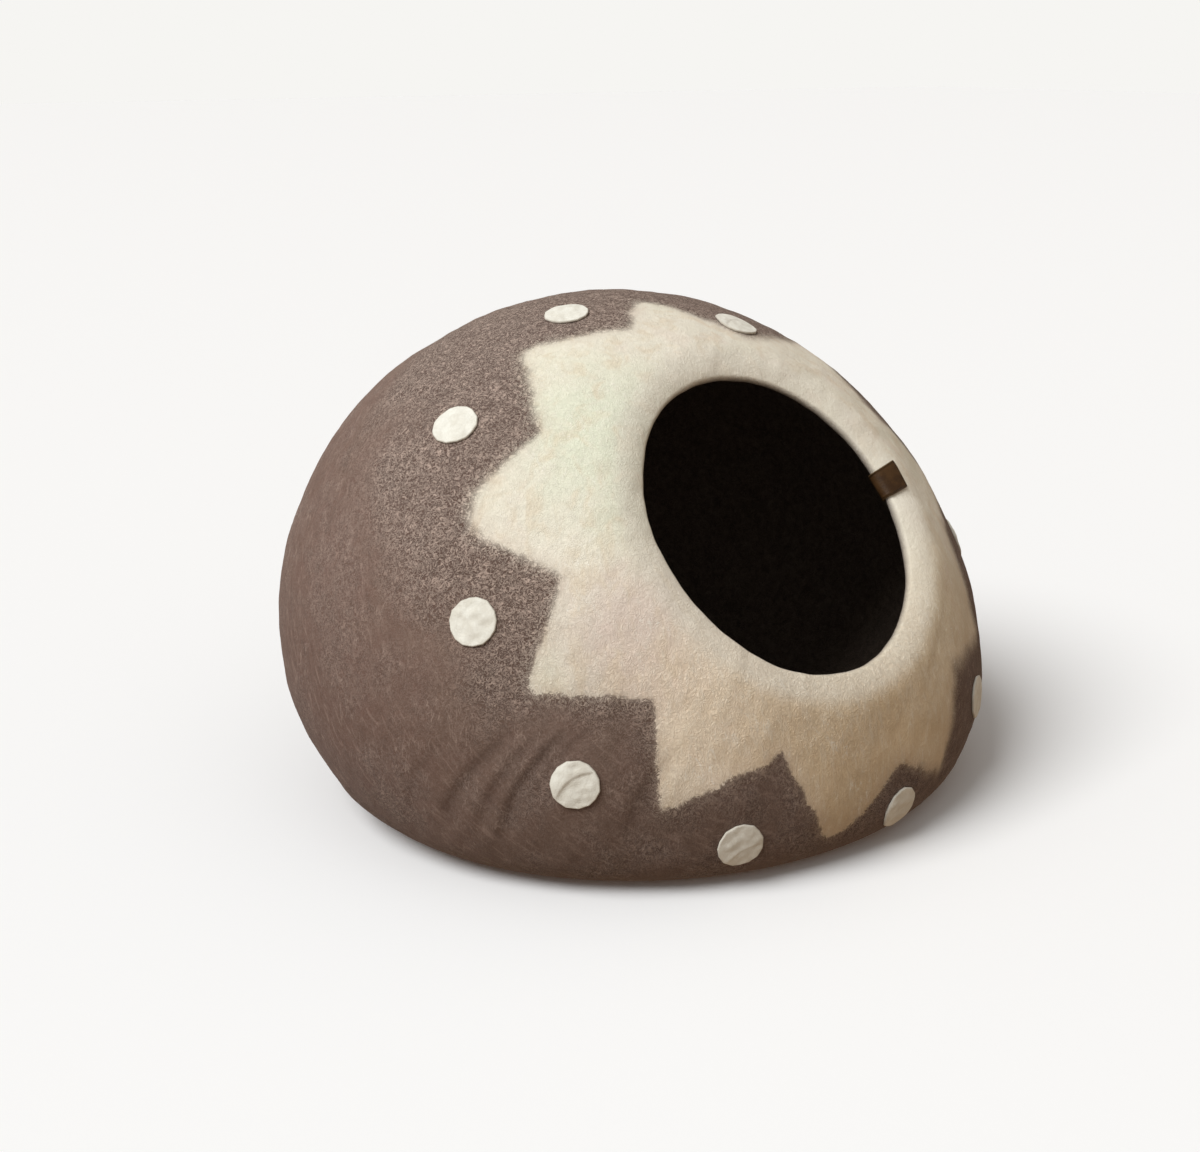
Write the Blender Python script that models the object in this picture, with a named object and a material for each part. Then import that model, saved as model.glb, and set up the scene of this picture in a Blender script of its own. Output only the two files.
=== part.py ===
"""A felted wool cave for a cat to sleep in: one seamless shell with a round opening, felt dots and a tag.

The shell stands on a flat base at z = 0, and the opening faces -Y, a little to the right, and looks up at
32.5 degrees. Sizes are in millimetres until a mesh is made. A body height is measured from the widest
level of the shell.
"""

import bpy
import numpy as np

MM = 0.001

# Outer shape of the shell.
HALF_WIDTH = 240.0
DEPTH_SHARE = 0.891  # half depth over half width, in plan
CROWN_RISE = 218.0
CROWN_POWER = 1.934
BELLY_DROP = 150.6  # where the lower curve would close, under the floor
BELLY_POWER = 2.215
BASE_DROP = 92.1  # from the widest level to the floor
BASE_ROUND = 52.8  # radius of the turn from wall to floor
BASE_FLAT = 176.1  # half width of what lies on the floor
BASE_ROUND_TOP = -69.3  # body height where that turn meets the wall
LEAN = 0.2654  # how far each level stands back for each millimetre of height
LEAN_BEND = 0.000507  # and how that eases off towards the crown
SET_BACK = 0.5  # brings the middle of the whole to y = 0

# Felt and rim.
WALL = 7.0
TURN_IN = 7.0  # how far the rim turns inwards
TURN_WIDTH = 22.0  # over this much of the felt

# Opening: the rim is seen from a point inside, in these spreads for each millimetre forward.
EYE_HEIGHT = 24.0
OPENING_TILT = 32.5
OPENING_SWING = 4.3  # how far it is set to the right of the front, in degrees
OPENING_WIDE = 0.617
OPENING_TALL = 0.649

# Soft creases low on the left side. Angle is in plan, 0 to the right and -90 to the front.
CREASE_COLUMNS = ("angle_top", "angle_foot", "top", "foot", "half_width", "depth")
CREASES = (
    (-155.5, -160.0, 86.0, 42.0, 11.0, 1.2),
    (-144.5, -154.0, 95.0, 40.0, 12.0, 2.0),
    (-135.5, -145.0, 100.0, 42.0, 13.0, 2.4),
    (-121.5, -125.5, 84.0, 40.0, 14.0, 1.4),
)

# Dots. Turn is round the opening, 0 to the right and 90 over the top; reach is from the rim.
DOT_RADIUS = 14.1
DOT_THICK = 1.6
DOT_GAP = 0.3
DOT_COLUMNS = ("turn", "reach")
DOTS = (
    (106.2, 95.8),
    (144.8, 112.2),
    (183.9, 112.7),
    (214.7, 119.2),
    (243.9, 104.1),
    (278.4, 93.2),
    (313.0, 103.0),
    (350.0, 128.0),
    (22.0, 124.0),
    (67.7, 51.3),
)

# Tag, folded over the rim.
TAG_TURN = 0.8
TAG_SKEW = 0.2  # how far it leans sideways for each millimetre of its length
TAG_WIDTH = 20.0
TAG_THICK = 1.6
TAG_OUTER_LEG = 11.5
TAG_INNER_LEG = 17.0
TAG_GAP = 0.4

# Mesh steps.
COLUMNS_ROUND = 84
MIDDLE_RINGS = 18
INNER_MIDDLE_RINGS = 9
LIP_STEPS = 6
DOT_SIDES = 20


def lean_at(height):
    return LEAN * height - LEAN_BEND * height**2


def level(points):
    """Below 0 inside the outer shape and above 0 outside, with a smooth slope on it."""
    x, y, z = points[..., 0], points[..., 1], points[..., 2]
    plan = np.hypot(x, (y - lean_at(z)) / DEPTH_SHARE)
    crown = (plan / HALF_WIDTH) ** CROWN_POWER + np.maximum(z / CROWN_RISE, 0) ** CROWN_POWER - 1
    belly = (plan / HALF_WIDTH) ** BELLY_POWER + np.maximum(-z / BELLY_DROP, 0) ** BELLY_POWER - 1
    middle = BASE_ROUND - BASE_DROP
    turn = np.hypot(np.maximum(plan - BASE_FLAT, 0), middle - z) / BASE_ROUND - 1
    return np.where(z >= 0, crown, np.where(z > BASE_ROUND_TOP, belly, turn))


def facing(points):
    """Unit outward directions of the outer shape."""
    step = 0.02
    slope = [level(points + step * axis) - level(points - step * axis) for axis in np.eye(3)]
    slope = np.stack(slope, axis=-1)
    return slope / np.linalg.norm(slope, axis=-1, keepdims=True)


def eye():
    return np.array([0.0, 0.0, EYE_HEIGHT])


def opening_axes():
    """Out of the opening, across it to the right, and up along it."""
    tilt = np.radians(OPENING_TILT)
    swing = np.radians(OPENING_SWING)
    front = np.array([np.sin(swing), -np.cos(swing), 0.0])
    right = np.array([np.cos(swing), np.sin(swing), 0.0])
    top = np.array([0.0, 0.0, 1.0])
    return np.cos(tilt) * front + np.sin(tilt) * top, right, np.cos(tilt) * top - np.sin(tilt) * front


def cast(directions):
    """Where lines from the eye point leave the outer shape, by halving."""
    unit = directions / np.linalg.norm(directions, axis=-1, keepdims=True)
    near = np.zeros(unit.shape[:-1])
    far = np.full(unit.shape[:-1], 2 * HALF_WIDTH)
    for _ in range(42):
        half = (near + far) / 2
        inside = level(eye() + unit * half[..., None]) < 0
        near = np.where(inside, half, near)
        far = np.where(inside, far, half)
    return eye() + unit * near[..., None]


def creased(points):
    """The points moved inwards by the soft creases."""
    plan_angle = np.degrees(np.arctan2((points[..., 1] - lean_at(points[..., 2])) / DEPTH_SHARE, points[..., 0]))
    height = points[..., 2] + BASE_DROP
    sunk = np.zeros(height.shape)
    for row in CREASES:
        crease = dict(zip(CREASE_COLUMNS, row))
        along = (height - crease["foot"]) / (crease["top"] - crease["foot"])
        centre = crease["angle_foot"] + (crease["angle_top"] - crease["angle_foot"]) * along
        across = np.radians(plan_angle - centre) * 0.95 * HALF_WIDTH / crease["half_width"]
        ends = np.exp(-((2 * along - 1) ** 4))
        sunk = np.maximum(sunk, crease["depth"] * ends * np.exp(-(across**2)))
    return points - facing(points) * sunk[..., None]


def base_edge(turn):
    """The edge of what lies on the floor, at a plan angle."""
    y = DEPTH_SHARE * BASE_FLAT * np.sin(turn) + lean_at(-BASE_DROP)
    return np.stack([BASE_FLAT * np.cos(turn), y, np.full(turn.shape, -BASE_DROP)], axis=-1)


def rim_way(turns):
    """Directions from the eye point to the rim, for turns round the opening."""
    out, right, up = opening_axes()
    return out + OPENING_WIDE * np.cos(turns)[:, None] * right + OPENING_TALL * np.sin(turns)[:, None] * up


def rim_cone(turns):
    """The angle at the eye point between the middle of the opening and its rim, for true angles round it."""
    return np.arctan(1 / np.hypot(np.cos(turns) / OPENING_WIDE, np.sin(turns) / OPENING_TALL))


def from_rim(points):
    """How far points on the outer shape are from the rim, and which way leads straight away from it."""
    out, right, up = opening_axes()
    way = points - eye()
    turns = np.arctan2(way @ up, way @ right)
    sideways = np.cos(turns)[..., None] * right + np.sin(turns)[..., None] * up
    start = rim_cone(turns)
    cone = np.arccos(way @ out / np.linalg.norm(way, axis=-1))
    cones = (start[..., None] + (cone - start)[..., None] * np.linspace(0, 1, 9))[..., None]
    path = cast(np.cos(cones) * out + np.sin(cones) * sideways[..., None, :])
    reach = np.linalg.norm(np.diff(path, axis=-2), axis=-1).sum(-1) * np.sign(cone - start)
    return reach, np.cos(cone)[..., None] * sideways - np.sin(cone)[..., None] * out


def section(at):
    """Middle of the felt at points of the outer shape, its outward direction and the way off its rim."""
    out = facing(at)
    reach, ahead = from_rim(at)
    ahead -= (ahead * out).sum(-1, keepdims=True) * out
    ahead /= np.linalg.norm(ahead, axis=-1, keepdims=True)
    left = np.clip(1 - reach / TURN_WIDTH, 0, 1)[..., None]
    steep = -2 * TURN_IN / TURN_WIDTH * left
    middle = creased(at) - out * (WALL / 2 + TURN_IN * left**2)
    turned_out = (out + ahead * steep) / np.hypot(1, steep)
    turned_ahead = (ahead - out * steep) / np.hypot(1, steep)
    return middle, turned_out, turned_ahead


def sides(at, lift):
    """Points that far from the middle of the felt, on its outer and on its inner side."""
    middle, out, _ = section(at)
    return middle + lift * out, middle - lift * out


def lip(at, lift, steps):
    """The same round the edge of the rim, from the outer side to the inner side."""
    middle, out, ahead = section(at)
    angles = np.linspace(0, np.pi, steps + 1)[1:-1]
    return [middle + lift * (out * np.cos(angle) - ahead * np.sin(angle)) for angle in angles]


def column_turns():
    """Turns of the shell's columns, closer where they spread over the crown and where the creases are."""
    fine = np.radians(np.arange(0.0, 360.5, 0.5))
    over_crown = np.exp(2.2 * (np.cos(fine - np.radians(90)) - 1))
    at_creases = np.exp(9.0 * (np.cos(fine - np.radians(-143)) - 1))
    crowding = 1 + 1.3 * over_crown + 0.9 * at_creases
    total = np.concatenate([[0], np.cumsum((crowding[1:] + crowding[:-1]) / 2)])
    return np.interp(np.arange(COLUMNS_ROUND) / COLUMNS_ROUND, total / total[-1], fine)


def to_base(turns):
    """Columns that run from the rim over the body to the edge of the base."""
    return Felt(rim_way(turns), base_edge(turns) - eye())


def straight_out(turns):
    """Columns that run straight out from the opening, for true angles round its middle."""
    out, right, up = opening_axes()
    sideways = np.cos(turns)[:, None] * right + np.sin(turns)[:, None] * up
    near = rim_cone(turns)[:, None]
    far = near + np.radians(75)
    return Felt(np.cos(near) * out + np.sin(near) * sideways, np.cos(far) * out + np.sin(far) * sideways)


class Felt:
    """The outer shape along columns that start at the rim."""

    def __init__(self, start, end):
        self.rim = start / np.linalg.norm(start, axis=1, keepdims=True)
        self.foot = end / np.linalg.norm(end, axis=1, keepdims=True)
        self.bend = np.arccos(np.clip((self.rim * self.foot).sum(1), -1, 1))
        self.share = np.linspace(0, 1, 241)
        way = self.points_at_share(np.repeat(self.share[None], len(start), 0))
        steps = np.linalg.norm(np.diff(way, axis=1), axis=2)
        self.reach = np.concatenate([np.zeros((len(start), 1)), np.cumsum(steps, axis=1)], axis=1)
        self.length = self.reach[:, -1]

    def points_at_share(self, share):
        bend = self.bend[:, None]
        early = np.sin((1 - share) * bend) / np.sin(bend)
        late = np.sin(share * bend) / np.sin(bend)
        return cast(early[..., None] * self.rim[:, None] + late[..., None] * self.foot[:, None])

    def points(self, reach):
        """Outer points at distances from the rim, one row of them for each column."""
        share = np.stack([np.interp(r, known, self.share) for r, known in zip(reach, self.reach)])
        found = self.points_at_share(share)
        found[..., 2] = np.maximum(found[..., 2], -BASE_DROP)
        return found

    def rings(self, middle_rings, round_rings, start):
        """Distances from the rim: close at the rim, even over the body, close again round the base."""
        turn = BASE_ROUND * 0.97
        rows = []
        for length in self.length:
            body = np.linspace(start[-1], length - turn, middle_rings + 1)[1:]
            rows.append(np.concatenate([start, body, length - turn + turn * np.arange(1, round_rings + 1) / round_rings]))
        return np.array(rows)


def placed(points):
    """From body measures to the frame: the base on z = 0, in metres."""
    return (points + np.array([0.0, SET_BACK, BASE_DROP])) * MM


def material(name, colour, roughness):
    made = bpy.data.materials.new(name)
    made.use_nodes = True
    shader = made.node_tree.nodes["Principled BSDF"]
    shader.inputs["Base Color"].default_value = (*colour, 1.0)
    shader.inputs["Roughness"].default_value = roughness
    return made


def solid(name, points, faces, look):
    mesh = bpy.data.meshes.new(name)
    mesh.from_pydata(placed(points).tolist(), [], faces)
    mesh.materials.append(look)
    mesh.shade_smooth()
    made = bpy.data.objects.new(name, mesh)
    bpy.context.scene.collection.objects.link(made)
    return made


def strip_faces(rows, columns, closed):
    """Faces of a grid of rows by columns, whose columns may close into a ring."""
    faces = []
    for row in range(rows - 1):
        for column in range(columns if closed else columns - 1):
            after = (column + 1) % columns
            a, b = row * columns + column, row * columns + after
            faces.append((a, b, b + columns, a + columns))
    return faces


def make_shell(look):
    """Outer side, rounded rim and inner side as one run of rings, closed by the two faces of the base."""
    felt = to_base(column_turns())
    outer, _ = sides(felt.points(felt.rings(MIDDLE_RINGS, 5, [0.0, 4.0, 9.0, 15.0, 22.0])), WALL / 2)
    _, inner = sides(felt.points(felt.rings(INNER_MIDDLE_RINGS, 4, [0.0, 5.0, 10.0, 16.0, 22.0, 30.0])), WALL / 2)
    rim = felt.points(np.zeros((COLUMNS_ROUND, 1)))[:, 0]
    edge = np.stack(lip(rim, WALL / 2, LIP_STEPS), axis=1)
    outer[:, -1, 2] = -BASE_DROP
    inner[:, -1, 2] = WALL - BASE_DROP
    centre = np.array([0.0, lean_at(-BASE_DROP), 0.0])
    around = outer[:, ::-1]
    rows = np.concatenate([around, edge, inner], axis=1).transpose(1, 0, 2)
    low = (rows[:1] + centre * [1, 1, 0]) / 2 + [0, 0, -BASE_DROP / 2]
    high = (rows[-1:] + centre * [1, 1, 0]) / 2 + [0, 0, (WALL - BASE_DROP) / 2]
    rows = np.concatenate([low, rows, high])
    rows[0, :, 2] = -BASE_DROP
    rows[-1, :, 2] = WALL - BASE_DROP
    count, size = rows.shape[:2]
    points = np.concatenate([rows.reshape(-1, 3), [centre + [0, 0, -BASE_DROP], centre + [0, 0, WALL - BASE_DROP]]])
    faces = strip_faces(count, size, True)
    last = (count - 1) * size
    for column in range(size):
        after = (column + 1) % size
        faces.append((count * size, after, column))
        faces.append((count * size + 1, last + column, last + after))
    return solid("shell", points, faces, look)


def make_dot(name, turn, reach, look):
    """A thin disc that follows the shell, with its edge rounded over."""
    column = straight_out(np.radians([turn]))
    centre = column.points(np.array([[reach]]))[0, 0]
    out = facing(centre)
    side = np.cross([0.0, 0.0, 1.0], out)
    side /= np.linalg.norm(side)
    up = np.cross(out, side)
    angle = np.arange(DOT_SIDES) * 2 * np.pi / DOT_SIDES
    around = np.cos(angle)[:, None] * side + np.sin(angle)[:, None] * up
    spread = (
        (0.5, 0.0),
        (0.96, 0.0),
        (1.0, 0.35),
        (1.0, 1.65),
        (0.94, 2.0),
        (0.5, 2.0),
    )
    rows = []
    for share, lift in spread:
        near = centre + DOT_RADIUS * share * around
        on = cast(near - eye())
        rows.append(creased(on) + facing(on) * (DOT_GAP + lift * DOT_THICK / 2))
    foot = centre + out * DOT_GAP
    top = centre + out * (DOT_GAP + DOT_THICK)
    points = np.concatenate([np.array(rows).reshape(-1, 3), [foot, top]])
    faces = strip_faces(len(spread), DOT_SIDES, True)
    last = (len(spread) - 1) * DOT_SIDES
    for one in range(DOT_SIDES):
        after = (one + 1) % DOT_SIDES
        faces.append((len(spread) * DOT_SIDES, after, one))
        faces.append((len(spread) * DOT_SIDES + 1, last + one, last + after))
    return solid(name, points, faces, look)


def make_tag(look):
    """A strip that lies on the outer felt, goes round the rim and lies on the inner felt."""
    across = np.linspace(-0.5, 0.5, 7)
    turns = np.linspace(TAG_TURN - 14, TAG_TURN + 14, 57)
    columns = straight_out(np.radians(turns))

    def row(reach):
        """Points of the outer shape across the strip, at one distance from the rim."""
        line = columns.points(np.full((len(turns), 1), reach))[:, 0]
        along = np.concatenate([[0], np.cumsum(np.linalg.norm(np.diff(line, axis=0), axis=1))])
        along -= np.interp(TAG_TURN, turns, along)
        want = across * TAG_WIDTH + TAG_SKEW * reach
        return np.stack([np.interp(want, along, line[:, k]) for k in range(3)], axis=1)

    outer_rows = np.array([row(reach) for reach in np.linspace(TAG_OUTER_LEG, 0, 6)])
    inner_rows = np.array([row(reach) for reach in np.linspace(0, TAG_INNER_LEG, 6)])

    def layer(lift):
        """The strip that far off the felt, from the end of its outer leg to the end of its inner leg."""
        outer, _ = sides(outer_rows, WALL / 2 + lift)
        _, inner = sides(inner_rows, WALL / 2 + lift)
        return np.concatenate([outer, np.array(lip(outer_rows[-1], WALL / 2 + lift, 8)), inner])

    under = layer(TAG_GAP)
    over = layer(TAG_GAP + TAG_THICK)
    count, size = under.shape[:2]
    points = np.concatenate([under.reshape(-1, 3), over.reshape(-1, 3)])
    half = count * size
    faces = []
    for a, b, c, d in strip_faces(count, size, False):
        faces.append((d, c, b, a))
        faces.append((half + a, half + b, half + c, half + d))
    border = [(0, column) for column in range(size - 1)]
    border += [(r, size - 1) for r in range(count - 1)]
    border += [(count - 1, column) for column in range(size - 1, 0, -1)]
    border += [(r, 0) for r in range(count - 1, 0, -1)]
    loop = [r * size + column for r, column in border]
    for one, after in zip(loop, loop[1:] + loop[:1]):
        faces.append((one, after, half + after, half + one))
    return solid("rim_tag", points, faces, look)


def main():
    for old in list(bpy.data.objects):
        bpy.data.objects.remove(old)
    felt = material("brown_wool_felt", (0.17, 0.125, 0.105), 0.95)
    pale = material("cream_dot_felt", (0.86, 0.84, 0.76), 0.95)
    leather = material("brown_tag_leather", (0.10, 0.06, 0.03), 0.6)
    make_shell(felt)
    for number, row in enumerate(DOTS, 1):
        dot = dict(zip(DOT_COLUMNS, row))
        make_dot(f"dot_{number:02d}", dot["turn"], dot["reach"], pale)
    make_tag(leather)


main()
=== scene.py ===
"""A felted wool cave for a cat, dressed: the shell with its cream star, the cut felt dots and the leather tag.

Shapes repeat the model's own formulas at a finer step. Sizes are in millimetres until a mesh is made, and a
body height is measured from the widest level of the shell. A turn is an angle round the opening: 0 to the right
and 90 over the top.
"""

from types import SimpleNamespace

import bpy
import numpy as np
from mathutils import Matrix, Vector


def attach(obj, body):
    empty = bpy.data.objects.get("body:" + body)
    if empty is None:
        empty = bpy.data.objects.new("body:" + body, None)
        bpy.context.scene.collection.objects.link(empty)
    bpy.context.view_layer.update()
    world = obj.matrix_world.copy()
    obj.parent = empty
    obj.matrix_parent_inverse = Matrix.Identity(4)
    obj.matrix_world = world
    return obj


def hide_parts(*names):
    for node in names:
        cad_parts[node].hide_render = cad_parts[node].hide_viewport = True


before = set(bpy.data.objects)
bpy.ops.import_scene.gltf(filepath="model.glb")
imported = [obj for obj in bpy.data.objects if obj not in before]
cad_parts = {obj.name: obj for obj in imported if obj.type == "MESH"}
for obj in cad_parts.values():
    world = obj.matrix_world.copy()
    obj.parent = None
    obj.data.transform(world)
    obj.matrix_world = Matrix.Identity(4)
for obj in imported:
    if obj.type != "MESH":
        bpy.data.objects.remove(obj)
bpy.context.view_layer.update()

MM = 0.001

# Outer shape of the shell, as in the model.
HALF_WIDTH = 240.0
DEPTH_SHARE = 0.891
CROWN_RISE = 218.0
CROWN_POWER = 1.934
BELLY_DROP = 150.6
BELLY_POWER = 2.215
BASE_DROP = 92.1
BASE_ROUND = 52.8
BASE_FLAT = 176.1
BASE_ROUND_TOP = -69.3
LEAN = 0.2654
LEAN_BEND = 0.000507
SET_BACK = 0.5

# Felt, rim and opening, as in the model.
WALL = 7.0
TURN_IN = 7.0
TURN_WIDTH = 22.0
EYE_HEIGHT = 24.0
OPENING_TILT = 32.5
OPENING_SWING = 4.3
OPENING_WIDE = 0.617
OPENING_TALL = 0.649

# Leaning creases low on the left. Angle is in plan, 0 to the right and -90 to the front; heights are from the
# floor. Each sinks along a bell that is steeper on its left side.
CREASE_COLUMNS = ("angle_top", "angle_foot", "top", "foot", "half_width", "depth")
CREASES = (
    (-155.6, -159.4, 86.0, 48.0, 6.5, 1.0),
    (-144.6, -153.8, 96.0, 43.0, 6.5, 1.5),
    (-139.4, -146.7, 99.0, 49.0, 5.5, 1.3),
    (-136.0, -143.6, 100.0, 45.0, 6.0, 2.0),
    (-132.5, -137.5, 103.0, 66.0, 5.5, 1.1),
    (-121.9, -125.1, 85.0, 44.0, 7.0, 1.2),
)
CREASE_BEND = 3.5  # degrees that the top of each crease leans further than in the model, as an arc
CREASE_STEEP_SIDE = 1.6
CREASE_SOFT_SIDE = 0.75
PLAN_RADIUS = 0.95 * HALF_WIDTH  # between its half width and half depth

# Unevenness of the felt: lengths of its waves, and how high they are together. There is none up to the even foot,
# and all of it once the fade above that has ended.
LUMPS = ((80.0, 50.0, 32.0), 0.5)
DIMPLES = ((15.0, 11.0), 0.12)
PLEATS = ((18.0, 12.0), 0.08)
PLEAT_STRETCH = (1.0, 1.0, 0.2)
WAVES_EACH = 5
EVEN_FOOT = 2.0
EVEN_FADE = 25.0
OUTER_SEED = 11
INNER_SEED = 23

# Star of cream wool: turns in degrees and reach from the rim. Blunt is how much of each side the rounding of a
# tip takes.
STAR_COLUMNS = ("tip_turn", "tip_reach", "blunt", "valley_turn", "valley_reach")
STAR = (
    (88.5, 88.0, 14.0, 101.8, 52.5),
    (123.1, 97.5, 18.0, 145.6, 60.9),
    (165.5, 115.0, 40.0, 182.6, 57.0),
    (198.2, 107.0, 13.0, 214.8, 56.0),
    (228.3, 103.0, 5.0, 245.7, 47.2),
    (261.6, 103.5, 15.0, 278.9, 61.9),
    (292.1, 97.0, 6.0, 307.0, 49.0),
    (325.0, 94.0, 8.0, 346.0, 51.0),
    (3.0, 93.0, 8.0, 19.3, 46.9),
    (42.0, 92.0, 8.0, 67.6, 33.4),
)
STAR_MIDDLE = 112.0  # length over the missing cap, from the middle of the opening to its rim
TIP_STEPS = 6

# Broad tints in the cream: green and pink where wool of another fleece lies near the surface, and tan low down and on
# the right, partly tan wool and partly painted warm shade. Each has a middle in the frame, and the distance at which
# it has faded away.
TINT_AND_SHADE_COLUMNS = ("x", "y", "z", "spread", "share", "colour")
TINTS_AND_WARM_SHADE = (
    (-82.0, -92.0, 245.0, 85.0, 0.6, "#e4ecd4"),
    (-112.0, -160.0, 150.0, 62.0, 0.55, "#e4ccc2"),
    # Tan on the right: tan wool with painted warm shade.
    (95.0, -185.0, 105.0, 105.0, 0.65, "#dac39e"),
    (-80.0, -190.0, 102.0, 80.0, 0.6, "#fbe3c8"),
    # Tan along the bottom: tan wool with painted warm shade.
    (8.0, -216.0, 60.0, 130.0, 0.8, "#dcc099"),
)

# Noises of the wool. Each lies over the frame (where), over the frame drawn out upright (fall), or over the lay
# of the fibres, which is a circle round the opening by the squeezed reach from its rim (lay). Size is about how
# long its lumps are in millimetres, layers is how many finer noises it holds, and twist bends it.
NOISE_COLUMNS = ("name", "over", "size", "layers", "twist")
WOOL_NOISES = (
    ("broad", "where", 70.0, 2.0, 0.0),
    ("patches", "where", 24.0, 3.0, 0.0),
    ("drift", "where", 19.0, 2.0, 0.4),
    ("lumps", "where", 6.0, 3.0, 0.6),
    ("grain", "where", 0.9, 2.0, 0.0),
    ("streaks", "fall", 3.0, 3.0, 0.5),
    ("long_streaks", "fall", 12.0, 2.0, 0.6),
    ("rounds", "lay", 3.4, 4.0, 1.2),
)
FALL_STRETCH = (1.0, 1.0, 0.17)
LAY_RADIUS = 160.0
LAY_SQUEEZE = 7.0
LAY_STRETCH = (0.3, 0.3, LAY_SQUEEZE)
FINER_SHARE = 0.55  # how strong each finer layer is, beside the one before it

# Dots, as in the model, but pressed closer to the felt, with a low crown and shallow dimples. Crease turn is the
# way across a pressed crease, and aside is how far it passes from the dot's middle.
DOT_RADIUS = 14.1
DOT_THICK = 1.6
DOT_LIFT = 0.12
DOT_CROWN = 0.35
DOT_DIMPLE_HEIGHT = 0.16
DOT_DIMPLE_LENGTHS = (9.0, 5.0)
DOT_BEVEL_START = 0.955  # share of the radius where its rounded edge starts
DOT_FLAT = 0.94  # share of the radius that its even rings reach
DOT_CUTS = 15
DOT_SEED = 100
DIMPLE_SEED = 50
DOT_COLUMNS = ("turn", "reach", "crease_turn", "crease_aside", "crease_depth")
DOTS = (
    (106.2, 95.8, 60.0, 5.0, 0.05),
    (144.8, 112.2, 20.0, -3.0, 0.06),
    (183.9, 112.7, 155.0, 8.0, 0.16),
    (214.7, 119.2, 127.0, 3.9, 0.42),
    (243.9, 104.1, 118.0, -3.0, 0.2),
    (278.4, 93.2, 100.0, 2.0, 0.25),
    (313.0, 103.0, 40.0, -4.0, 0.2),
    (350.0, 128.0, 75.0, 3.0, 0.3),
    (22.0, 124.0, 140.0, -5.0, 0.15),
    (67.7, 51.3, 70.0, 2.5, 0.3),
)

# Tag, as in the model.
TAG_TURN = 0.8
TAG_SKEW = 0.2
TAG_WIDTH = 20.0
TAG_THICK = 1.6
TAG_OUTER_LEG = 11.5
TAG_INNER_LEG = 17.0
TAG_GAP = 0.4
TAG_SLACK = 0.05  # thinner by this on either face than in the model

# Light: the key's turn to the left of the front, its height and its breadth, in degrees, and the room's two sides.
KEY_TURN = 90.0
KEY_HEIGHT = 51.0
KEY_BREADTH = 36.0
KEY_STRENGTH = 2.5
KEY_COLOUR = (1.0, 1.0, 0.985)
ROOM_WAY = (-0.5, -0.1, 0.86)
ROOM_BRIGHT = (0.41, 0.41, 0.40, 1.0)
ROOM_DIM = (0.28, 0.185, 0.105, 1.0)
FLOOR_REACH = 14000.0
FLOOR_STEPS = 4

# Camera: the photograph's viewing point and framing, in metres, with a 36 mm sensor.
CAMERA_PLACE = (-0.6129, -0.8793, 0.4625)
CAMERA_AIM = (0.0, 0.0005, 0.0921)
CAMERA_LENS = 50.16
CAMERA_SHIFT = (-0.0313, 0.0386)

# Mesh steps: columns round the shell, and rings over its rim, its body, its turn to the base and its base.
COLUMNS_ROUND = 420
OUTER_RIM_RINGS = 10
OUTER_RINGS = 96
OUTER_FOOT_RINGS = 14
INNER_RIM_WIDTH = 30.0
INNER_RIM_RINGS = 11
INNER_RINGS = 40
INNER_FOOT_RINGS = 8
BASE_RINGS = 7
LIP_STEPS = 12
DOT_SIDES = 96
DOT_UNDER_RINGS = 6
DOT_RINGS = 18
BEVEL_STEPS = 7
TAG_ACROSS_STEPS = 15
TAG_LIP_STEPS = 16
TAG_LEG_STEPS = (14, 16)

# What is searched or measured on the way to a mesh.
HALVINGS = 30
REACH_STEPS = 8
FOOT_LENGTH = 0.97 * BASE_ROUND  # along each column, for the close rings at its turn to the base
STRAIGHT_SPAN = 75.0  # degrees at the eye point, for columns that run straight out from the rim
TAG_SPAN = 14.0  # degrees to either side of the tag's turn, for the lines that its section is laid on
TAG_SPAN_STEPS = 57

# Columns stand closer where they spread over the crown and at the creases: a turn, how narrow and how much closer.
CROWDING_COLUMNS = ("turn", "narrowness", "closer")
CROWDING = (
    (90.0, 2.2, 1.3),
    (-143.0, 9.0, 1.6),
)


def lean_at(height):
    """How far a level stands back, at a body height: a parabola that eases off towards the crown."""
    return LEAN * height - LEAN_BEND * height**2


def level(points):
    """Below 0 inside the outer shape: a superellipse of plan and height, with a round turn down to a flat base."""
    x, y, z = points[..., 0], points[..., 1], points[..., 2]
    plan = np.hypot(x, (y - lean_at(z)) / DEPTH_SHARE)
    crown = (plan / HALF_WIDTH) ** CROWN_POWER + np.maximum(z / CROWN_RISE, 0) ** CROWN_POWER - 1
    belly = (plan / HALF_WIDTH) ** BELLY_POWER + np.maximum(-z / BELLY_DROP, 0) ** BELLY_POWER - 1
    middle = BASE_ROUND - BASE_DROP
    turn = np.hypot(np.maximum(plan - BASE_FLAT, 0), middle - z) / BASE_ROUND - 1
    return np.where(z >= 0, crown, np.where(z > BASE_ROUND_TOP, belly, turn))


def facing(points):
    """Unit outward directions: the slope of the level, from steps either way along each axis."""
    step = 0.02
    slope = [level(points + step * axis) - level(points - step * axis) for axis in np.eye(3)]
    slope = np.stack(slope, axis=-1)
    return slope / np.linalg.norm(slope, axis=-1, keepdims=True)


EYE = np.array([0.0, 0.0, EYE_HEIGHT])


def opening_axes():
    """Out of the opening, across it to the right, and up along it, from its tilt and swing."""
    tilt, swing = np.radians(OPENING_TILT), np.radians(OPENING_SWING)
    front = np.array([np.sin(swing), -np.cos(swing), 0.0])
    right = np.array([np.cos(swing), np.sin(swing), 0.0])
    top = np.array([0.0, 0.0, 1.0])
    return np.cos(tilt) * front + np.sin(tilt) * top, right, np.cos(tilt) * top - np.sin(tilt) * front


OUT, RIGHT, UP = opening_axes()


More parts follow.
